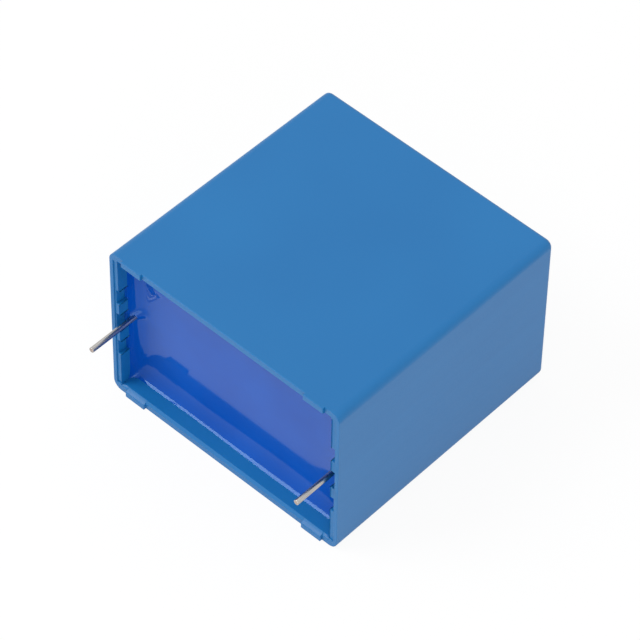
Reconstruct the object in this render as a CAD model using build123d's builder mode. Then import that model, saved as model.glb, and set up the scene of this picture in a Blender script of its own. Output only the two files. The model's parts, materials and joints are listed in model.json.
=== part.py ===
"""Box film capacitor: a moulded case potted with resin, round a flattened film winding with two leads.

Millimetres. The part lies on one of its large sides, with +Z up. X runs from lead to lead and
+Y from the open side, where the leads come out, to the closed end. The origin is on the surface
that the part lies on, under the middle of its overall length and width.
"""
import os
from math import cos, radians, sin, tan

from build123d import *

# Leads, and where they stand
lead_pitch = 37.5
lead_diameter = 0.8
lead_free_length = 5.4      # beyond the feet
lead_to_case_end = 2.0      # from a lead's axis to the outside of the case
lead_buried_depth = 0.15    # straight wire below the top of the resin
lead_jog = 0.55             # from the free wire's axis to the sprayed end contact
lead_jog_length = 1.8
lead_flat_thickness = 0.4
lead_flat_width = 1.3
lead_flat_edge_radius = 0.18
weld_length = 14.0

# Case, outside, at the open end
case_thickness = 27.5
case_height = 42.0
draft_angle = 0.35
long_edge_radius = 1.45
closed_end_radius = 0.75

# Case, walls and rim
long_wall = 1.35
short_wall = 0.9
end_wall = 1.4
rim_chamfer = 0.35
rim_lip = 0.65              # outer part of a short wall's rim, left standing
rim_step = 0.2              # from the rim down to the ends of the ribs

# Feet on the rims of the long walls
foot_height = 0.4
foot_length = 3.5
foot_width = 1.0
foot_to_case_end = 2.6

# Guide ribs and corner blocks on the short walls
rib_height = 0.53
channel_width = 3.3         # the lead's channel, between the two ribs
channel_relief = 0.15
rib_width = 2.1
side_slot_width = 2.65

# Resin
resin_depth = 4.2           # from the rim to the level of the resin
resin_rise = 1.9            # how far the resin climbs the walls
meniscus_slope = 68         # of the resin's surface where it meets a wall
meniscus_land = 0.1         # flat top of the resin along a wall
mound_top_radius = 0.6      # resin that climbs a lead
mound_angle = 20

# Winding
winding_cover = 2.2         # resin over the winding
winding_side_gap = 1.0
winding_floor_gap = 1.2
core_slit = 0.4
spray_thickness = 0.7
spray_inset = 0.4

# Overall sizes and places that follow
case_length = lead_pitch + 2 * lead_to_case_end
overall_height = lead_free_length + foot_height + case_height
middle_z = case_thickness / 2
rim_y = overall_height / 2 - case_height
cavity_length = case_length - 2 * short_wall
cavity_thickness = case_thickness - 2 * long_wall
cavity_depth = case_height - end_wall
resin_top_depth = resin_depth - resin_rise
meniscus_radius = resin_rise / (1 - cos(radians(meniscus_slope)))
lead_start_depth = resin_top_depth + lead_buried_depth
contact_face_x = lead_pitch / 2 - lead_jog
winding_half_length = contact_face_x - spray_thickness
winding_top_depth = resin_depth + winding_cover
winding_height = cavity_depth - winding_floor_gap - winding_top_depth
winding_thickness = cavity_thickness - 2 * winding_side_gap
winding_depth = winding_top_depth + winding_height / 2

# The open rim, seen from outside: local x runs along -X, local y up, and depth along +Y
rim = Plane(origin=(0, rim_y, middle_z), x_dir=(-1, 0, 0), z_dir=(0, 1, 0))


# Outline of the inside of the case: ribs and corner blocks stand on the short walls
rib_middle = channel_width / 2 + rib_width / 2
block_inner = channel_width / 2 + rib_width + side_slot_width
block_width = cavity_thickness / 2 - block_inner
block_middle = block_inner + block_width / 2
rib_x = cavity_length / 2 - rib_height / 2
with BuildSketch(rim) as cavity_outline:
    Rectangle(cavity_length, cavity_thickness)
    Rectangle(cavity_length + 2 * channel_relief, channel_width)
    with Locations(*[(x, z) for x in (-rib_x, rib_x) for z in (-rib_middle, rib_middle)]):
        Rectangle(rib_height, rib_width, mode=Mode.SUBTRACT)
    with Locations(*[(x, z) for x in (-rib_x, rib_x) for z in (-block_middle, block_middle)]):
        Rectangle(rib_height, block_width, mode=Mode.SUBTRACT)

# Case: one moulding with drafted walls, open at the leads' side
with BuildPart() as case:
    with BuildSketch(rim):
        RectangleRounded(case_length, case_thickness, long_edge_radius)
    extrude(amount=case_height, taper=draft_angle)
    fillet(case.faces().sort_by(Axis.Y)[-1].edges(), radius=closed_end_radius)
    extrude(cavity_outline.sketch, amount=cavity_depth, taper=draft_angle, mode=Mode.SUBTRACT)
    # the long walls' rims are chamfered inside
    rim_edges = case.edges().filter_by(Axis.X).group_by(Axis.Y)[0].sort_by(Axis.Z)
    inner_rims = [e for e in rim_edges if e.length > cavity_length / 2][1:3]
    chamfer(inner_rims, length=rim_chamfer)
    # the ribs and blocks end below the short walls' outer lip
    step_length = short_wall + rib_height - rim_lip
    step_x = case_length / 2 - rim_lip - step_length / 2
    with BuildSketch(rim):
        with Locations((-step_x, 0), (step_x, 0)):
            Rectangle(step_length, cavity_thickness)
    extrude(amount=rim_step, mode=Mode.SUBTRACT)
    # feet, flush with the outside of the long walls, with a sloping inner face
    foot_x = case_length / 2 - foot_to_case_end - foot_length / 2
    for x in (-foot_x, foot_x):
        for side in (-1, 1):
            outer_z = middle_z + side * case_thickness / 2
            with BuildSketch(Plane.YZ.offset(x)):
                with BuildLine():
                    Polyline(
                        (rim_y, outer_z),
                        (rim_y - foot_height, outer_z),
                        (rim_y - foot_height, outer_z - side * foot_width),
                        (rim_y + rim_chamfer, outer_z - side * long_wall),
                        close=True,
                    )
                make_face()
            extrude(amount=foot_length / 2, both=True)

case.part.label = "case"


def lead(side):
    """A tinned wire: round and straight where it is free, flattened where it is welded to the contact."""
    x = -side * lead_pitch / 2
    flat_x = -side * (contact_face_x + lead_flat_thickness / 2)
    flat_depth = lead_start_depth + lead_jog_length
    with BuildPart() as wire:
        with BuildSketch(rim.offset(-foot_height - lead_free_length)):
            with Locations((x, 0)):
                Circle(lead_diameter / 2)
        extrude(amount=lead_free_length + foot_height + lead_start_depth)
        with BuildSketch(rim.offset(lead_start_depth)):
            with Locations((x, 0)):
                Circle(lead_diameter / 2)
        with BuildSketch(rim.offset(flat_depth)):
            with Locations((flat_x, 0)):
                RectangleRounded(lead_flat_thickness, lead_flat_width, lead_flat_edge_radius)
        loft()
        with BuildSketch(rim.offset(flat_depth)):
            with Locations((flat_x, 0)):
                RectangleRounded(lead_flat_thickness, lead_flat_width, lead_flat_edge_radius)
        extrude(amount=weld_length)
    return wire.part


lead_left = lead(-1)
lead_left.label = "lead_left"
lead_right = lead(1)
lead_right.label = "lead_right"

# Winding: a roll of metallised film pressed flat, with the slit that its mandrel left
with BuildPart() as film_winding:
    with BuildSketch(Plane.YZ.offset(-winding_half_length)):
        with Locations((rim_y + winding_depth, middle_z)):
            SlotOverall(winding_height, winding_thickness)
            SlotCenterToCenter(winding_height - winding_thickness, core_slit, mode=Mode.SUBTRACT)
    extrude(amount=2 * winding_half_length)

film_winding.part.label = "film_winding"


def end_contact(side):
    """Sprayed metal over one end of the winding."""
    with BuildPart() as spray:
        with BuildSketch(Plane.YZ.offset(side * winding_half_length)):
            with Locations((rim_y + winding_depth, middle_z)):
                SlotOverall(winding_height - 2 * spray_inset, winding_thickness - 2 * spray_inset)
        extrude(amount=side * spray_thickness)
    return spray.part


end_contact_left = end_contact(-1)
end_contact_left.label = "end_contact_left"
end_contact_right = end_contact(1)
end_contact_right.label = "end_contact_right"

# The hollow over the resin: an arc falls from the walls to the level, and a mound climbs each lead
with BuildPart() as resin_hollow:
    arc_overhang = meniscus_radius * (1 - sin(radians(meniscus_slope)))
    narrowing = 2 * (resin_top_depth * tan(radians(draft_angle)) + meniscus_land - arc_overhang)
    with BuildSketch(rim):
        Rectangle(cavity_length - 2 * rib_height - narrowing, cavity_thickness - narrowing)
    extrude(amount=resin_depth)
    fillet(resin_hollow.edges().filter_by(Axis.Y), radius=meniscus_radius)
    fillet(resin_hollow.faces().sort_by(Axis.Y)[-1].edges(), radius=meniscus_radius)
    with BuildSketch(rim.offset(resin_top_depth)):
        with Locations((-lead_pitch / 2, 0), (lead_pitch / 2, 0)):
            Circle(mound_top_radius)
    extrude(amount=resin_rise, taper=-mound_angle, mode=Mode.SUBTRACT)

# Resin: fills the case round the winding, and wets its walls and the leads
with BuildPart() as potting_resin:
    extrude(cavity_outline.sketch, amount=cavity_depth, taper=draft_angle)
    split(bisect_by=rim.offset(resin_top_depth), keep=Keep.TOP)
    add(resin_hollow.part, mode=Mode.SUBTRACT)
    with BuildSketch(Plane.YZ.offset(-winding_half_length)):
        with Locations((rim_y + winding_depth, middle_z)):
            SlotOverall(winding_height, winding_thickness)
    extrude(amount=2 * winding_half_length, mode=Mode.SUBTRACT)
    for piece in (end_contact_left, end_contact_right, lead_left, lead_right):
        add(piece, mode=Mode.SUBTRACT)

potting_resin.part.label = "potting_resin"

os.makedirs("parts", exist_ok=True)
export_step(case.part, "parts/case.step")
export_step(potting_resin.part, "parts/potting_resin.step")
export_step(film_winding.part, "parts/film_winding.step")
export_step(end_contact_left, "parts/end_contact_left.step")
export_step(end_contact_right, "parts/end_contact_right.step")
export_step(lead_left, "parts/lead_left.step")
export_step(lead_right, "parts/lead_right.step")
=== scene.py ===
"""Box film capacitor: the finish of its moulded case, its potting resin, its winding and its leads.

The file is laid out as an add-on and is run as a script. Everything is in metres, in the frame of
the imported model: X runs from lead to lead, +Y from the leads' side to the closed end, +Z is up.
"""
import json
import math

import bmesh
import bpy
import numpy as np
from mathutils import Matrix, Vector, noise


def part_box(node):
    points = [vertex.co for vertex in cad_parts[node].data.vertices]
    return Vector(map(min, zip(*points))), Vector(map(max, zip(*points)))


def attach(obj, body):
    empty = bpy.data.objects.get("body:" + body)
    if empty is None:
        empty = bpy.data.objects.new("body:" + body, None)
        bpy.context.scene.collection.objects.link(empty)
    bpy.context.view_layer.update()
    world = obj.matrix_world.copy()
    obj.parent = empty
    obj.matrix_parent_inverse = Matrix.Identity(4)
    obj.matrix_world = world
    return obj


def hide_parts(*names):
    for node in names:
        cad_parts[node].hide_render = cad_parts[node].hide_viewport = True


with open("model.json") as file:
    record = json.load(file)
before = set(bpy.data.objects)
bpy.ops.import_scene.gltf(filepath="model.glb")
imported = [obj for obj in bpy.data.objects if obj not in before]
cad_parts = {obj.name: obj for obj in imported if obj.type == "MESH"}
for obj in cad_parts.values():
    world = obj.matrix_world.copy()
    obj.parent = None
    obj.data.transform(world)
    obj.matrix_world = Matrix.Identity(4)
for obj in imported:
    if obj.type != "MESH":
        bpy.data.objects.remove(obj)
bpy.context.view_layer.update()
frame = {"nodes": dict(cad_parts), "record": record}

bl_info = {
    "name": "Box film capacitor",
    "version": (1, 0, 0),
    "blender": (4, 5, 0),
    "location": "3D View > Sidebar > Capacitor",
    "description": "Finishes the case, resin, winding and leads of a box film capacitor",
    "category": "Object",
}

MM = 0.001
ROOT = "root"

# Meshes
SAME = 0.00001 * MM         # corners of the frame's loose triangles nearer than this are one vertex
ON_CUT = 0.001 * MM         # a vertex nearer than this to a plane lies on it
FLAT = math.radians(0.1)    # faces that turn by less than this are one face
SHARP = math.radians(30)    # edges that turn by more than this stay sharp in the shading
SQUARE = math.radians(60)   # edges of the moulding that turn by more than this are rounded

# Resin
LEAD_PINS = [mount for mount in frame["record"]["mounts"] if mount["kind"] == "pin"]
RESIN_LOW, RESIN_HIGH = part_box("potting_resin")
RIB_FACE = 19.3 * MM        # from the middle to the ribs' faces, at the level of the resin
# the pool between the ribs and between the long walls: its middle and half its reach, in X and Z
POOL = (
    (0.0, RIB_FACE),
    ((RESIN_HIGH.z + RESIN_LOW.z) / 2, (RESIN_HIGH.z - RESIN_LOW.z) / 2),
)
SLOT_CUTS = 3               # cuts across the slots beyond the ribs' faces, one mesh width apart
CURVE_END = 0.001           # share of its rise at which a meniscus counts as level
CURVE_STEPS = 2000          # points on the curve of a meniscus

# Finishes
CASE_GLOSS_SPREAD = 0.06            # of the roughness, to either side, over the grain
WIRE_GLOSS_SPREAD = (-0.05, 0.08)   # of the roughness, over the die lines
WAVE_REPEAT = math.tau / 20         # length in which a wave texture of scale 1 repeats
PAPER_CLOUD = 2 * MM                # width of a cloud in the table's paper
PAPER_SHADE = 0.99                  # of its darker clouds, beside the light ones

# Stage
TABLE_REACH = 2.0           # half of the table's side
TABLE_GAP = 0.02 * MM       # keeps the table's face apart from the part's underside
SENSOR_WIDTH = 36.0         # in mm, as lenses are given
CLIP_START = 10 * MM        # the nearest that the camera sees


def srgb(colour):
    """The linear red, green and blue of an sRGB hex colour."""
    channels = [int(colour[i:i + 2], 16) / 255 for i in (1, 3, 5)]
    return [c / 12.92 if c <= 0.04045 else ((c + 0.055) / 1.055) ** 2.4 for c in channels]


# Nodes and meshes

def add_node(tree, kind, inputs=None, stops=(), **settings):
    """Adds a node with its settings, links or sets its inputs by name or number, and gives a colour
    ramp its stops of place and linear colour."""
    node = tree.nodes.new(kind)
    for name, value in settings.items():
        setattr(node, name, value)
    for name, value in (inputs or {}).items():
        if isinstance(value, bpy.types.NodeSocket):
            tree.links.new(value, node.inputs[name])
        else:
            node.inputs[name].default_value = value
    for number, (place, colour) in enumerate(stops):
        elements = node.color_ramp.elements
        stop = elements[number] if number < len(elements) else elements.new(place)
        stop.position, stop.color = place, (*colour, 1)
    return node


def new_material(name):
    """An empty node material, with its tree."""
    material = bpy.data.materials.new(name)
    material.use_nodes = True
    material.node_tree.nodes.clear()
    return material, material.node_tree


def finish_node(name, material):
    """Gives a node of the frame its material."""
    node = frame["nodes"][name]
    node.data.materials.clear()
    node.data.materials.append(material)


def node_copy(name):
    """A bmesh of a node of the frame, with its loose triangles merged.

    It has slivers a thousandth of a millimetre wide, which a larger distance would fold up.
    """
    mesh = bmesh.new()
    mesh.from_mesh(frame["nodes"][name].data)
    bmesh.ops.remove_doubles(mesh, verts=mesh.verts, dist=SAME)
    return mesh


def join_flats(mesh):
    """Makes one face of triangles that lie in one plane."""
    bmesh.ops.dissolve_limit(
        mesh, angle_limit=FLAT, verts=mesh.verts, edges=mesh.edges, use_dissolve_boundaries=False)


def with_edges_and_verts(faces):
    """The faces with their edges and vertices, each once and in a fixed order."""
    edges = dict.fromkeys(edge for face in faces for edge in face.edges)
    return [*faces, *edges, *dict.fromkeys(vert for edge in edges for vert in edge.verts)]


def new_piece(name, mesh, materials):
    """Makes a smoothly shaded piece from a bmesh that is already in place, and lets it ride on the
    part."""
    data = bpy.data.meshes.new(name)
    mesh.to_mesh(data)
    mesh.free()
    data.shade_smooth()
    data.set_sharp_from_angle(angle=SHARP)
    for material in materials:
        data.materials.append(material)
    piece = bpy.data.objects.new(name, data)
    bpy.context.scene.collection.objects.link(piece)
    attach(piece, ROOT)
    return piece


# Materials

def moulded_polyester(settings):
    """PBT polyester moulded in a spark-eroded tool: an even satin blue, with a fine grain and, on
    the short walls, faint drag marks along the draw."""
    material, tree = new_material("Moulded PBT polyester")
    place = add_node(tree, "ShaderNodeTexCoord").outputs["Object"]
    # the real grain is under 0.1 mm wide, too fine to show, so it is drawn coarser
    grain = add_node(tree, "ShaderNodeTexNoise", {
        "Vector": place, "Scale": 1 / settings.grain, "Detail": 3.0, "Roughness": 0.6})
    drawn = add_node(tree, "ShaderNodeMapping", {
        "Vector": place, "Scale": (1.0, settings.streak_width / settings.streak_length, 1.0)})
    streaks = add_node(tree, "ShaderNodeTexNoise", {
        "Vector": drawn.outputs["Vector"], "Scale": 1 / settings.streak_width, "Detail": 2.0})
    flow = add_node(tree, "ShaderNodeTexNoise", {
        "Vector": place, "Scale": 1 / settings.flow_width, "Detail": 1.0})
    # only the short walls are marked
    across = add_node(tree, "ShaderNodeSeparateXYZ", {"Vector": place}).outputs["X"]
    outward = add_node(tree, "ShaderNodeMath", {0: across}, operation="ABSOLUTE")
    marked = add_node(tree, "ShaderNodeMapRange", {
        "Value": outward.outputs["Value"], "From Min": settings.marks_from - settings.streak_width,
        "From Max": settings.marks_from, "To Max": settings.streak_share})
    shade = add_node(tree, "ShaderNodeMix", {
        "Factor": marked.outputs["Result"], "A": flow.outputs["Fac"], "B": streaks.outputs["Fac"]})
    colour = add_node(tree, "ShaderNodeValToRGB", {"Fac": shade.outputs["Result"]}, stops=(
        (0.3, settings.dark), (0.5, settings.main), (0.7, settings.light)))
    rough = add_node(tree, "ShaderNodeMapRange", {
        "Value": grain.outputs["Fac"], "To Min": settings.roughness - CASE_GLOSS_SPREAD,
        "To Max": settings.roughness + CASE_GLOSS_SPREAD})
    bump = add_node(tree, "ShaderNodeBump", {
        "Height": grain.outputs["Fac"], "Strength": 0.5, "Distance": settings.grain_depth})
    shader = add_node(tree, "ShaderNodeBsdfPrincipled", {
        "Base Color": colour.outputs["Color"], "Roughness": rough.outputs["Result"], "IOR": 1.5,
        "Specular IOR Level": 0.42, "Normal": bump.outputs["Normal"]})
    add_node(tree, "ShaderNodeOutputMaterial", {"Surface": shader.outputs["BSDF"]})
    return material


def cast_resin(settings):
    """Two-part polyurethane resin, poured and left to level: smooth and glossy, a deep blue that
    tints what it mirrors a little."""
    material, tree = new_material("Cast polyurethane resin")
    place = add_node(tree, "ShaderNodeTexCoord").outputs["Object"]
    cloud = add_node(tree, "ShaderNodeTexNoise", {
        "Vector": place, "Scale": 1 / settings.cloud_width, "Detail": 2.0})
    colour = add_node(tree, "ShaderNodeValToRGB", {"Fac": cloud.outputs["Fac"]}, stops=(
        (0.3, settings.dark), (0.7, settings.light)))
    level = add_node(tree, "ShaderNodeBump", {
        "Height": cloud.outputs["Fac"], "Strength": 0.3, "Distance": settings.ripple})
    shader = add_node(tree, "ShaderNodeBsdfPrincipled", {
        "Base Color": colour.outputs["Color"], "Roughness": settings.roughness, "IOR": 1.5,
        "Specular IOR Level": 0.33, "Specular Tint": (0.55, 0.85, 1.0, 1.0),
        "Normal": level.outputs["Normal"]})
    add_node(tree, "ShaderNodeOutputMaterial", {"Surface": shader.outputs["BSDF"]})
    return material


def tinned_wire(settings):
    """Hot-tinned copper-clad steel wire: a bright, slightly warm metal with faint die lines along
    it."""
    material, tree = new_material("Hot-tinned wire")
    place = add_node(tree, "ShaderNodeTexCoord").outputs["Object"]
    drawn = add_node(tree, "ShaderNodeMapping", {
        "Vector": place, "Scale": (1.0, settings.line_width / settings.line_length, 1.0)})
    # real die lines are a few hundredths of a millimetre wide, so they are drawn coarser
    lines = add_node(tree, "ShaderNodeTexNoise", {
        "Vector": drawn.outputs["Vector"], "Scale": 1 / settings.line_width, "Detail": 3.0})
    colour = add_node(tree, "ShaderNodeValToRGB", {"Fac": lines.outputs["Fac"]}, stops=(
        (0.35, settings.dark), (0.6, settings.light)))
    rough = add_node(tree, "ShaderNodeMapRange", {
        "Value": lines.outputs["Fac"], "To Min": settings.roughness + WIRE_GLOSS_SPREAD[0],
        "To Max": settings.roughness + WIRE_GLOSS_SPREAD[1]})
    bump = add_node(tree, "ShaderNodeBump", {
        "Height": lines.outputs["Fac"], "Strength": 0.3, "Distance": settings.line_depth})
    shader = add_node(tree, "ShaderNodeBsdfPrincipled", {
        "Base Color": colour.outputs["Color"], "Metallic": 1.0,
        "Roughness": rough.outputs["Result"], "Normal": bump.outputs["Normal"]})
    add_node(tree, "ShaderNodeOutputMaterial", {"Surface": shader.outputs["BSDF"]})
    return material


def sheared_core(settings):
    """The sheared end of a copper-clad wire: dull, and pinkish where the copper was drawn over the
    cut."""
    material, tree = new_material("Sheared copper-clad core")
    place = add_node(tree, "ShaderNodeTexCoord").outputs["Object"]
    tear = add_node(tree, "ShaderNodeTexNoise", {
        "Vector": place, "Scale": 1 / settings.tear_width, "Detail": 3.0})
    colour = add_node(tree, "ShaderNodeValToRGB", {"Fac": tear.outputs["Fac"]}, stops=(
        (0.3, settings.copper), (0.7, settings.steel)))
    bump = add_node(tree, "ShaderNodeBump", {
        "Height": tear.outputs["Fac"], "Strength": 0.6, "Distance": settings.tear_depth})
    shader = add_node(tree, "ShaderNodeBsdfPrincipled", {
        "Base Color": colour.outputs["Color"], "Metallic": 1.0, "Roughness": 0.45,
        "Normal": bump.outputs["Normal"]})
    add_node(tree, "ShaderNodeOutputMaterial", {"Surface": shader.outputs["BSDF"]})
    return material


def metallised_film(settings):
    """Polypropylene film with a thin layer of aluminium and zinc, wound tight: silvery, ringed by
    its turns."""
    material, tree = new_material("Metallised polypropylene film")
    place = add_node(tree, "ShaderNodeTexCoord").outputs["Object"]
    # a real turn is under 0.01 mm thick, so each band stands for a dozen turns or more
    turns = add_node(tree, "ShaderNodeTexWave", {
        "Vector": place, "Scale": WAVE_REPEAT / settings.band, "Distortion": 1.5},
        bands_direction="Z")
    colour = add_node(tree, "ShaderNodeValToRGB", {"Fac": turns.outputs["Fac"]}, stops=(
        (0.0, settings.film_dark), (1.0, settings.film_light)))
    shader = add_node(tree, "ShaderNodeBsdfPrincipled", {
        "Base Color": colour.outputs["Color"], "Metallic": 0.6, "Roughness": 0.3})
    add_node(tree, "ShaderNodeOutputMaterial", {"Surface": shader.outputs["BSDF"]})
    return material


def sprayed_zinc(settings):
    """Zinc sprayed on the winding's ends as fine molten drops: matt grey and granular."""
    material, tree = new_material("Flame-sprayed zinc")
    place = add_node(tree, "ShaderNodeTexCoord").outputs["Object"]
    # real drops are about 0.1 mm wide, so they are drawn coarser
    drops = add_node(tree, "ShaderNodeTexVoronoi", {
        "Vector": place, "Scale": 1 / settings.drop_width})
    colour = add_node(tree, "ShaderNodeValToRGB", {"Fac": drops.outputs["Distance"]}, stops=(
        (0.0, settings.zinc_light), (1.0, settings.zinc_dark)))
    bump = add_node(tree, "ShaderNodeBump", {
        "Height": drops.outputs["Distance"], "Strength": 0.8, "Distance": settings.drop_depth})
    shader = add_node(tree, "ShaderNodeBsdfPrincipled", {
        "Base Color": colour.outputs["Color"], "Metallic": 0.8, "Roughness": 0.6,
        "Normal": bump.outputs["Normal"]})
    add_node(tree, "ShaderNodeOutputMaterial", {"Surface": shader.outputs["BSDF"]})
    return material


def white_table(settings):
    """A sheet of matt white paper: lit by the lamps, so that it takes the part's shadow, and lifted
    to white where the camera or a gloss sees it."""
    material, tree = new_material("Matt white paper")
    place = add_node(tree, "ShaderNodeTexCoord").outputs["Object"]
    paper = add_node(tree, "ShaderNodeTexNoise", {
        "Vector": place, "Scale": 1 / PAPER_CLOUD, "Detail": 3.0})
    colour = add_node(tree, "ShaderNodeValToRGB", {"Fac": paper.outputs["Fac"]}, stops=(
        (0.0, [settings.table * PAPER_SHADE] * 3), (1.0, [settings.table] * 3)))
    lit = add_node(tree, "ShaderNodeBsdfDiffuse", {"Color": colour.outputs["Color"]})
    white = add_node(tree, "ShaderNodeEmission", {"Color": (1, 1, 1, 1), "Strength": 1.0})
    share = add_node(tree, "ShaderNodeMath", {
        0: seen_directly(tree), 1: settings.lift}, operation="MULTIPLY")
    mixed = add_node(tree, "ShaderNodeMixShader", {
        "Fac": share.outputs["Value"], 1: lit.outputs["BSDF"], 2: white.outputs["Emission"]})
    add_node(tree, "ShaderNodeOutputMaterial", {"Surface": mixed.outputs["Shader"]})
    return material


def seen_directly(tree):
    """1 on a ray from the camera, from a gloss or through glass, and 0 on the light that falls on
    the part."""
    path = add_node(tree, "ShaderNodeLightPath")
    gloss = add_node(tree, "ShaderNodeMath", {
        0: path.outputs["Is Camera Ray"], 1: path.outputs["Is Glossy Ray"]}, operation="MAXIMUM")
    glass = add_node(tree, "ShaderNodeMath", {
        0: gloss.outputs["Value"], 1: path.outputs["Is Transmission Ray"]}, operation="MAXIMUM")
    return glass.outputs["Value"]


# Settings

class CaseSettings(bpy.types.PropertyGroup):
    """The case's plastic."""

    main: bpy.props.FloatVectorProperty(
        name="Main colour", description="Colour of the plastic", default=srgb("#0E6AA7"),
        subtype="COLOR", min=0, max=1)
    light: bpy.props.FloatVectorProperty(
        name="Light colour", description="Colour where the plastic flowed thin",
        default=srgb("#106CA9"), subtype="COLOR", min=0, max=1)
    dark: bpy.props.FloatVectorProperty(
        name="Dark colour", description="Colour where the plastic flowed thick",
        default=srgb("#0C68A5"), subtype="COLOR", min=0, max=1)
    roughness: bpy.props.FloatProperty(
        name="Roughness", description="Gloss of the moulded surface", default=0.42,
        min=0, max=1, subtype="FACTOR")
    grain: bpy.props.FloatProperty(
        name="Grain", description="Width of a drawn grain of the tool's texture",
        default=0.25 * MM, unit="LENGTH")
    grain_depth: bpy.props.FloatProperty(
        name="Grain depth", description="Depth of the tool's texture", default=0.012 * MM,
        unit="LENGTH")
    streak_width: bpy.props.FloatProperty(
        name="Drag mark width", description="Width of a drag mark", default=1.6 * MM,
        unit="LENGTH")
    streak_length: bpy.props.FloatProperty(
        name="Drag mark length", description="Length of a drag mark along the draw",
        default=40 * MM, unit="LENGTH")
    streak_share: bpy.props.FloatProperty(
        name="Drag mark share", description="How strong the drag marks are", default=0.6,
        min=0, max=1, subtype="FACTOR")
    marks_from: bpy.props.FloatProperty(
        name="Drag marks from", description="Distance from the middle beyond which they show",
        default=20.5 * MM, unit="LENGTH")
    flow_width: bpy.props.FloatProperty(
        name="Flow width", description="Width of a patch of one shade", default=18 * MM,
        unit="LENGTH")
    edge_radius: bpy.props.FloatProperty(
        name="Edge radius", description="Radius of the moulding's square outer edges",
        default=0.08 * MM, unit="LENGTH")


class ResinSettings(bpy.types.PropertyGroup):
    """The potting resin and its meniscus."""

    light: bpy.props.FloatVectorProperty(
        name="Light colour", description="Colour of the resin", default=srgb("#034FB0"),
        subtype="COLOR", min=0, max=1)
    dark: bpy.props.FloatVectorProperty(
        name="Dark colour", description="Colour of its darker clouds", default=srgb("#0248A7"),
        subtype="COLOR", min=0, max=1)
    roughness: bpy.props.FloatProperty(
        name="Roughness", description="Gloss of the cast surface", default=0.06,
        min=0, max=1, subtype="FACTOR")
    cloud_width: bpy.props.FloatProperty(
        name="Cloud width", description="Width of a patch of one shade", default=9 * MM,
        unit="LENGTH")
    ripple: bpy.props.FloatProperty(
        name="Ripple", description="Unevenness of the level", default=0.01 * MM, unit="LENGTH")
    level: bpy.props.FloatProperty(
        name="Level", description="Place of the resin's level along Y", default=-13.9 * MM,
        unit="LENGTH")
    rise: bpy.props.FloatProperty(
        name="Rise", description="How far the resin climbs the long walls and the leads",
        default=1.9 * MM, unit="LENGTH")
    capillary_length: bpy.props.FloatProperty(
        name="Capillary length", description="Length over which the climbing resin falls away",
        default=1.7 * MM, unit="LENGTH")
    side_rise: bpy.props.FloatProperty(
        name="Side rise", description="How far the resin runs up the ribs of the short walls",
        default=2.4 * MM, unit="LENGTH")
    side_reach: bpy.props.FloatProperty(
        name="Side reach", description="Length over which it falls away from the ribs",
        default=0.6 * MM, unit="LENGTH")
    side_tail: bpy.props.FloatProperty(
        name="Side tail", description="Rise of the gentle slope that is left beyond that length",
        default=1.0 * MM, unit="LENGTH")
    lead_reach: bpy.props.FloatProperty(
        name="Lead reach", description="Length over which the resin falls away from a lead",
        default=0.35 * MM, unit="LENGTH")
    corner_blend: bpy.props.FloatProperty(
        name="Corner blend", description="How little the resin gathers where two walls meet",
        default=2.5, min=1)
    rise_wave: bpy.props.FloatProperty(
        name="Rise wave", description="Length of the waves in the climbing resin",
        default=14 * MM, unit="LENGTH")
    rise_change: bpy.props.FloatProperty(
        name="Rise change", description="Share by which the climbing resin varies",
        default=0.08, min=0)
    drip_place: bpy.props.FloatVectorProperty(
        name="Drip place", description="Place in X and Z of a last drop that set on the surface",
        size=2, default=(-16.25 * MM, 20.1 * MM), subtype="TRANSLATION")
    drip_radius: bpy.props.FloatProperty(
        name="Drip radius", description="Radius of that drop", default=1.6 * MM, unit="LENGTH")
    drip_height: bpy.props.FloatProperty(
        name="Drip height", description="Height of that drop", default=0.32 * MM, unit="LENGTH")
    sink: bpy.props.FloatProperty(
        name="Sink", description="How far the resin's rim is sunk into the walls",
        default=0.03 * MM, unit="LENGTH")
    skin: bpy.props.FloatProperty(
        name="Skin", description="Depth below the level at which the raised surface begins",
        default=0.9 * MM, unit="LENGTH")
    rings: bpy.props.IntProperty(
        name="Rings", description="Number of rings of faces along the walls", default=9, min=1)
    first_ring: bpy.props.FloatProperty(
        name="First ring", description="Width of the ring next to the walls",
        default=0.04 * MM, unit="LENGTH")
    ring_growth: bpy.props.FloatProperty(
        name="Ring growth", description="How much wider each ring is than the one before",
        default=1.22, min=1)
    mesh_width: bpy.props.FloatProperty(
        name="Mesh width", description="Width of a face of the open surface",
        default=0.3 * MM, unit="LENGTH")


class WindingSettings(bpy.types.PropertyGroup):
    """The wound film and the metal sprayed on its ends."""

    film_light: bpy.props.FloatVectorProperty(
        name="Film light colour", description="Colour of the film's light bands",
        default=srgb("#C9C9CC"), subtype="COLOR", min=0, max=1)
    film_dark: bpy.props.FloatVectorProperty(
        name="Film dark colour", description="Colour of the film's dark bands",
        default=srgb("#A9AAAE"), subtype="COLOR", min=0, max=1)
    band: bpy.props.FloatProperty(
        name="Band", description="Width of a light and a dark band of turns",
        default=0.126 * MM, unit="LENGTH")
    zinc_light: bpy.props.FloatVectorProperty(
        name="Zinc light colour", description="Colour of the middle of a drop",
        default=srgb("#9B9C9E"), subtype="COLOR", min=0, max=1)
    zinc_dark: bpy.props.FloatVectorProperty(
        name="Zinc dark colour", description="Colour between the drops",
        default=srgb("#77787B"), subtype="COLOR", min=0, max=1)
    drop_width: bpy.props.FloatProperty(
        name="Drop width", description="Width of a drawn drop of zinc", default=0.3 * MM,
        unit="LENGTH")
    drop_depth: bpy.props.FloatProperty(
        name="Drop depth", description="Unevenness of the sprayed zinc", default=0.05 * MM,
        unit="LENGTH")


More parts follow.
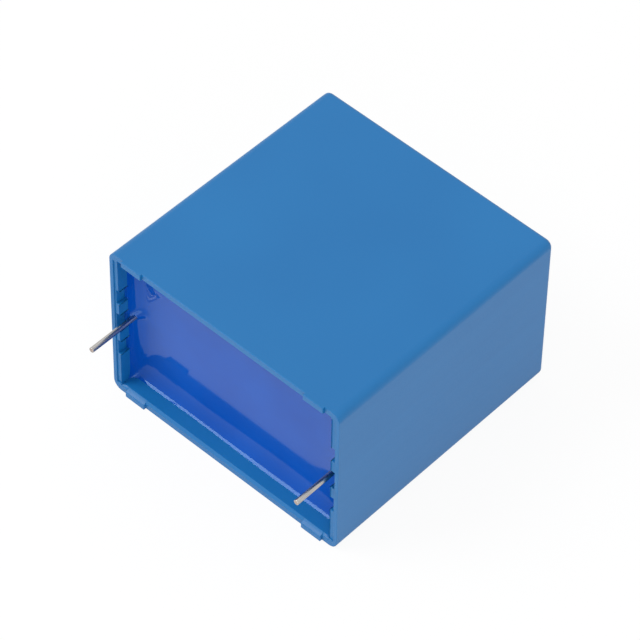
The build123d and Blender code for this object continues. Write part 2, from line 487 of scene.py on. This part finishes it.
class LeadSettings(bpy.types.PropertyGroup):
    """The leads' wire."""

    light: bpy.props.FloatVectorProperty(
        name="Light colour", description="Colour of the tin", default=srgb("#C8C4BE"),
        subtype="COLOR", min=0, max=1)
    dark: bpy.props.FloatVectorProperty(
        name="Dark colour", description="Colour of its die lines", default=srgb("#9C9A9C"),
        subtype="COLOR", min=0, max=1)
    roughness: bpy.props.FloatProperty(
        name="Roughness", description="Gloss of the tin", default=0.2,
        min=0, max=1, subtype="FACTOR")
    line_width: bpy.props.FloatProperty(
        name="Die line width", description="Width of a drawn die line", default=0.08 * MM,
        unit="LENGTH")
    line_length: bpy.props.FloatProperty(
        name="Die line length", description="Length of a die line", default=3 * MM,
        unit="LENGTH")
    line_depth: bpy.props.FloatProperty(
        name="Die line depth", description="Depth of a die line", default=0.003 * MM,
        unit="LENGTH")
    steel: bpy.props.FloatVectorProperty(
        name="Steel colour", description="Colour of the cut steel", default=srgb("#CFC3B8"),
        subtype="COLOR", min=0, max=1)
    copper: bpy.props.FloatVectorProperty(
        name="Copper colour", description="Colour of the copper drawn over the cut",
        default=srgb("#A98A7C"), subtype="COLOR", min=0, max=1)
    tear_width: bpy.props.FloatProperty(
        name="Tear width", description="Width of a torn patch of the cut", default=0.15 * MM,
        unit="LENGTH")
    tear_depth: bpy.props.FloatProperty(
        name="Tear depth", description="Depth of a torn patch of the cut", default=0.02 * MM,
        unit="LENGTH")
    burr: bpy.props.FloatProperty(
        name="Burr", description="Width of the burr round a sheared end", default=0.08 * MM,
        unit="LENGTH")


class StageSettings(bpy.types.PropertyGroup):
    """The table, the lamps and the camera."""

    table: bpy.props.FloatProperty(
        name="Table", description="Share of the light that the table returns", default=0.9,
        min=0, max=1, subtype="FACTOR")
    lift: bpy.props.FloatProperty(
        name="Lift", description="How far the table is lifted to white where it is seen",
        default=0.92, min=0, max=1, subtype="FACTOR")
    room_walls: bpy.props.FloatProperty(
        name="Room walls", description="Light from the room at the horizon, where 1 is white",
        default=0.32, min=0)
    room_ceiling: bpy.props.FloatProperty(
        name="Room ceiling", description="Light from the room overhead, where 1 is white",
        default=1.0, min=0)
    softbox_place: bpy.props.FloatVectorProperty(
        name="Softbox place", description="Where the softbox hangs, from the camera's aim",
        default=(-0.309, -0.315, 0.544), subtype="TRANSLATION")
    softbox_size: bpy.props.FloatProperty(
        name="Softbox size", description="Side of the softbox", default=0.31, unit="LENGTH")
    softbox_strength: bpy.props.FloatProperty(
        name="Softbox strength", description="Brightness of the softbox, where 1 is white",
        default=7.2, min=0)
    fill_place: bpy.props.FloatVectorProperty(
        name="Fill place", description="Where the fill lamp stands, from the camera's aim",
        default=(0.55, -0.5, 0.27), subtype="TRANSLATION")
    fill_size: bpy.props.FloatProperty(
        name="Fill size", description="Side of the fill lamp", default=0.5, unit="LENGTH")
    fill_strength: bpy.props.FloatProperty(
        name="Fill strength", description="Brightness of the fill lamp, where 1 is white",
        default=2.4, min=0)
    camera_place: bpy.props.FloatVectorProperty(
        name="Camera place", description="Where the camera stands",
        default=(0.23717, -0.26072, 0.42030), subtype="TRANSLATION")
    camera_aim: bpy.props.FloatVectorProperty(
        name="Camera aim", description="The point that the camera looks at",
        default=(-0.00037, 0.00111, 0.01375), subtype="TRANSLATION")
    camera_roll: bpy.props.FloatProperty(
        name="Camera roll", description="Turn of the camera about its line of sight",
        default=math.radians(1.11), subtype="ANGLE")
    lens: bpy.props.FloatProperty(
        name="Lens", description="Focal length in mm on a 36 mm sensor", default=225.5)


# Case

class CAPACITOR_OT_case(bpy.types.Operator):
    """Moulds the case, with the small radius that its tool leaves on every square outer edge"""

    bl_idname = "capacitor.case"
    bl_label = "Mould the case"

    def execute(self, context):
        settings = context.scene.capacitor_case
        plastic = moulded_polyester(settings)
        finish_node("case", plastic)
        mesh = node_copy("case")
        join_flats(mesh)
        # the rim's chamfers turn by 45 degrees and keep their crisp edges
        edges = [e for e in mesh.edges if e.is_convex and e.calc_face_angle() > SQUARE]
        bmesh.ops.bevel(
            mesh, geom=edges, affect="EDGES", offset=settings.edge_radius, segments=2,
            profile=0.5, material=-1, clamp_overlap=True)
        case = new_piece("moulded_case", mesh, [plastic])
        flats = case.modifiers.new("flats stay flat", "WEIGHTED_NORMAL")
        flats.keep_sharp = True
        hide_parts("case")
        return {"FINISHED"}


# Resin

class CAPACITOR_OT_resin(bpy.types.Operator):
    """Pours the potting resin, which wets the walls and the leads"""

    bl_idname = "capacitor.resin"
    bl_label = "Pour the resin"

    def execute(self, context):
        settings = context.scene.capacitor_resin
        resin = cast_resin(settings)
        finish_node("potting_resin", resin)
        depth = settings.level + settings.skin
        mesh = level_resin(depth)
        cut_surface(mesh, depth, settings)
        surface = dict.fromkeys(vert for face in level_faces(mesh, depth) for vert in face.verts)
        heights = resin_heights(settings, np.array([vert.co.xz for vert in surface]))
        for vert, height in zip(surface, heights):
            vert.co.y = settings.level - height
        sink_rim(mesh, [*surface], settings.sink)
        # the hollows of the buried leads are closed where they end, under the surface
        bmesh.ops.holes_fill(mesh, edges=[edge for edge in mesh.edges if edge.is_boundary])
        piece = new_piece("poured_resin", mesh, [resin])
        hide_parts("potting_resin")
        return {"FINISHED"}


def level_resin(depth):
    """A copy of the frame's resin, cut off flat at a depth along +Y and closed by one face, under
    which the hollows of the leads are still open."""
    mesh = node_copy("potting_resin")
    bmesh.ops.bisect_plane(
        mesh, geom=with_edges_and_verts(mesh.faces), dist=ON_CUT, plane_co=(0, depth, 0),
        plane_no=(0, 1, 0), clear_inner=True)
    rims = [edge for edge in mesh.edges if edge.is_boundary]
    lids = bmesh.ops.edgeloop_fill(mesh, edges=rims)["faces"]
    # the hollows get lids in the same plane, which would be cut and raised with the surface
    hollow_lids = sorted(lids, key=lambda face: face.calc_area())[:-1]
    bmesh.ops.delete(mesh, geom=hollow_lids, context="FACES_ONLY")
    join_flats(mesh)
    return mesh


def level_faces(mesh, depth):
    """The faces that lie flat at a depth along +Y."""
    return [face for face in mesh.faces
            if all(abs(vert.co.y - depth) < ON_CUT for vert in face.verts)]


def cut_surface(mesh, depth, settings):
    """Cuts the flat surface at a depth to small faces along X and along Z, finely beside the
    walls."""
    rings = settings.first_ring * settings.ring_growth ** np.arange(settings.rings)
    for axis, (middle, reach) in zip((Vector((1, 0, 0)), Vector((0, 0, 1))), POOL):
        edge_places = reach - np.cumsum(rings)
        open_places = np.arange(0, edge_places[-1], settings.mesh_width)
        slot_places = reach + settings.mesh_width * np.arange(SLOT_CUTS)
        offsets = np.concatenate([slot_places, edge_places, open_places])
        for offset in sorted({*offsets, *-offsets}):
            bmesh.ops.bisect_plane(
                mesh, geom=with_edges_and_verts(level_faces(mesh, depth)), dist=ON_CUT,
                plane_co=axis * (middle + offset), plane_no=axis)


def resin_heights(settings, places):
    """How far the resin stands above its level at each place in X and Z."""
    from_side, from_wall = (
        np.maximum(reach - np.abs(places[:, i] - middle), 0)
        for i, (middle, reach) in enumerate(POOL))
    swell = np.array([noise.noise(Vector((x, 0, z)) / settings.rise_wave) for x, z in places])
    length = settings.capillary_length
    climbs = [
        settings.side_rise * np.exp(-from_side / settings.side_reach),
        wetted_height(settings.side_tail, length, from_side),
        wetted_height(settings.rise, length, from_wall) * (1 + settings.rise_change * swell),
    ]
    for pin in LEAD_PINS:
        from_axis = np.linalg.norm(places - np.array(pin["pos_m"])[[0, 2]], axis=1)
        from_lead = np.maximum(from_axis - pin["dims"]["r_mm"] * MM, 0)
        climbs.append(settings.rise * np.exp(-from_lead / settings.lead_reach))
    blend = settings.corner_blend
    heights = sum(climb ** blend for climb in climbs) ** (1 / blend)
    from_drip = np.linalg.norm(places - np.array(settings.drip_place), axis=1)
    return heights + settings.drip_height * np.maximum(1 - from_drip / settings.drip_radius, 0)


def wetted_height(rise, length, distance):
    """How high a liquid of one capillary length stands at a distance from a wall that it climbs."""
    height = np.linspace(rise, CURVE_END * rise, CURVE_STEPS)
    place = length * np.arccosh(2 * length / height) - np.sqrt(4 * length ** 2 - height ** 2)
    return np.interp(distance, place - place[0], height)


def sink_rim(mesh, surface, sink):
    """Widens the raised surface, so that its rim reaches the drafted walls and sinks into them a
    little."""
    for axis, (middle, reach) in zip((0, 2), POOL):
        from_middle = Matrix.Translation([-middle * (axis == i) for i in range(3)])
        bmesh.ops.scale(
            mesh, verts=surface, space=from_middle,
            vec=[1 + sink / reach * (axis == i) for i in range(3)])


# Winding

class CAPACITOR_OT_winding(bpy.types.Operator):
    """Finishes the film winding and the sprayed metal on its ends"""

    bl_idname = "capacitor.winding"
    bl_label = "Finish the winding"

    def execute(self, context):
        settings = context.scene.capacitor_winding
        finish_node("film_winding", metallised_film(settings))
        zinc = sprayed_zinc(settings)
        for side in ("left", "right"):
            finish_node("end_contact_" + side, zinc)
        return {"FINISHED"}


# Leads

class CAPACITOR_OT_leads(bpy.types.Operator):
    """Makes the two leads, with a burr round their sheared ends"""

    bl_idname = "capacitor.leads"
    bl_label = "Cut the leads"

    def execute(self, context):
        settings = context.scene.capacitor_leads
        tin, core = tinned_wire(settings), sheared_core(settings)
        for side in ("left", "right"):
            name = "lead_" + side
            finish_node(name, tin)
            mesh = node_copy(name)
            join_flats(mesh)
            bmesh.ops.bevel(
                mesh, geom=free_end(mesh).edges[:], affect="EDGES", offset=settings.burr / 2,
                segments=3, profile=0.5, material=-1, clamp_overlap=True)
            end = free_end(mesh)
            bmesh.ops.inset_region(
                mesh, faces=[end], thickness=settings.burr, depth=-settings.burr / 2)
            end.material_index = 1
            piece = new_piece("cut_" + name, mesh, [tin, core])
            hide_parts(name)
        return {"FINISHED"}


def free_end(mesh):
    """The face at the end of a lead that is farthest from the case."""
    return min(mesh.faces, key=lambda face: face.calc_center_median().y)


# Stage

class CAPACITOR_OT_stage(bpy.types.Operator):
    """Sets the table, the lamps, the room and the camera"""

    bl_idname = "capacitor.stage"
    bl_label = "Set the stage"

    def execute(self, context):
        scene = context.scene
        settings = scene.capacitor_stage
        add_table(settings)
        aim = Vector(settings.camera_aim)
        add_lamp(
            "softbox", aim + Vector(settings.softbox_place), aim, settings.softbox_size,
            settings.softbox_strength)
        add_lamp(
            "fill", aim + Vector(settings.fill_place), aim, settings.fill_size,
            settings.fill_strength)
        scene.world = white_room(settings)
        scene.camera = add_camera(settings, aim)
        scene.view_settings.view_transform = "Standard"
        return {"FINISHED"}


def add_table(settings):
    """Lays the white table just under the part."""
    mesh = bmesh.new()
    bmesh.ops.create_grid(mesh, x_segments=1, y_segments=1, size=TABLE_REACH)
    bmesh.ops.translate(mesh, verts=mesh.verts, vec=(0, 0, -TABLE_GAP))
    data = bpy.data.meshes.new("table")
    mesh.to_mesh(data)
    mesh.free()
    data.materials.append(white_table(settings))
    table = bpy.data.objects.new("table", data)
    bpy.context.scene.collection.objects.link(table)


def add_lamp(name, place, aim, size, strength):
    """A square softbox at a place, facing a point, where a strength of 1 shines as white paper
    does."""
    light = bpy.data.lights.new(name, "AREA")
    light.shape = "SQUARE"
    light.size = size
    light.energy = strength * math.pi * size ** 2
    lamp = bpy.data.objects.new(name, light)
    lamp.location = place
    lamp.rotation_mode = "QUATERNION"
    lamp.rotation_quaternion = (aim - place).to_track_quat("-Z", "Y")
    lamp.visible_camera = False
    bpy.context.scene.collection.objects.link(lamp)


def white_room(settings):
    """A world that lights the part from above more than from its walls, and is white where the
    camera or a gloss sees it."""
    world = bpy.data.worlds.new("surroundings")
    world.use_nodes = True
    tree = world.node_tree
    tree.nodes.clear()
    direction = add_node(tree, "ShaderNodeTexCoord").outputs["Generated"]
    upward = add_node(tree, "ShaderNodeSeparateXYZ", {"Vector": direction}).outputs["Z"]
    light = add_node(tree, "ShaderNodeMapRange", {
        "Value": upward, "To Min": settings.room_walls, "To Max": settings.room_ceiling})
    white = add_node(tree, "ShaderNodeMath", {
        0: light.outputs["Result"], 1: seen_directly(tree)}, operation="MAXIMUM")
    background = add_node(tree, "ShaderNodeBackground", {
        "Color": (1, 1, 1, 1), "Strength": white.outputs["Value"]})
    add_node(tree, "ShaderNodeOutputWorld", {"Surface": background.outputs["Background"]})
    return world


def add_camera(settings, aim):
    """A camera that looks at a point, rolled about its line of sight."""
    data = bpy.data.cameras.new("camera")
    data.lens = settings.lens
    data.sensor_width = SENSOR_WIDTH
    data.clip_start = CLIP_START
    camera = bpy.data.objects.new("camera", data)
    camera.location = settings.camera_place
    camera.rotation_mode = "QUATERNION"
    level = (aim - Vector(settings.camera_place)).to_track_quat("-Z", "Y")
    roll = Matrix.Rotation(settings.camera_roll, 3, "Z").to_quaternion()
    camera.rotation_quaternion = level @ roll
    bpy.context.scene.collection.objects.link(camera)
    return camera


# Add-on

class CAPACITOR_PT_panel(bpy.types.Panel):
    """The sidebar's list of what can be made and set"""

    bl_idname = "CAPACITOR_PT_panel"
    bl_label = "Box film capacitor"
    bl_space_type = "VIEW_3D"
    bl_region_type = "UI"
    bl_category = "Capacitor"

    def draw(self, context):
        for operator in OPERATORS:
            self.layout.operator(operator.bl_idname)
        for group in SETTINGS:
            settings = getattr(context.scene, group)
            box = self.layout.box()
            for name in settings.__annotations__:
                box.prop(settings, name)


OPERATORS = (
    CAPACITOR_OT_stage,
    CAPACITOR_OT_case,
    CAPACITOR_OT_resin,
    CAPACITOR_OT_winding,
    CAPACITOR_OT_leads,
)
SETTINGS = {
    "capacitor_stage": StageSettings,
    "capacitor_case": CaseSettings,
    "capacitor_resin": ResinSettings,
    "capacitor_winding": WindingSettings,
    "capacitor_leads": LeadSettings,
}
CLASSES = (*SETTINGS.values(), *OPERATORS, CAPACITOR_PT_panel)


def register():
    for cls in CLASSES:
        bpy.utils.register_class(cls)
    for name, cls in SETTINGS.items():
        setattr(bpy.types.Scene, name, bpy.props.PointerProperty(type=cls))


def unregister():
    for name in SETTINGS:
        delattr(bpy.types.Scene, name)
    for cls in reversed(CLASSES):
        bpy.utils.unregister_class(cls)


def main():
    register()
    bpy.ops.capacitor.stage()
    bpy.ops.capacitor.case()
    bpy.ops.capacitor.resin()
    bpy.ops.capacitor.winding()
    bpy.ops.capacitor.leads()
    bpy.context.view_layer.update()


if __name__ == "__main__":
    main()
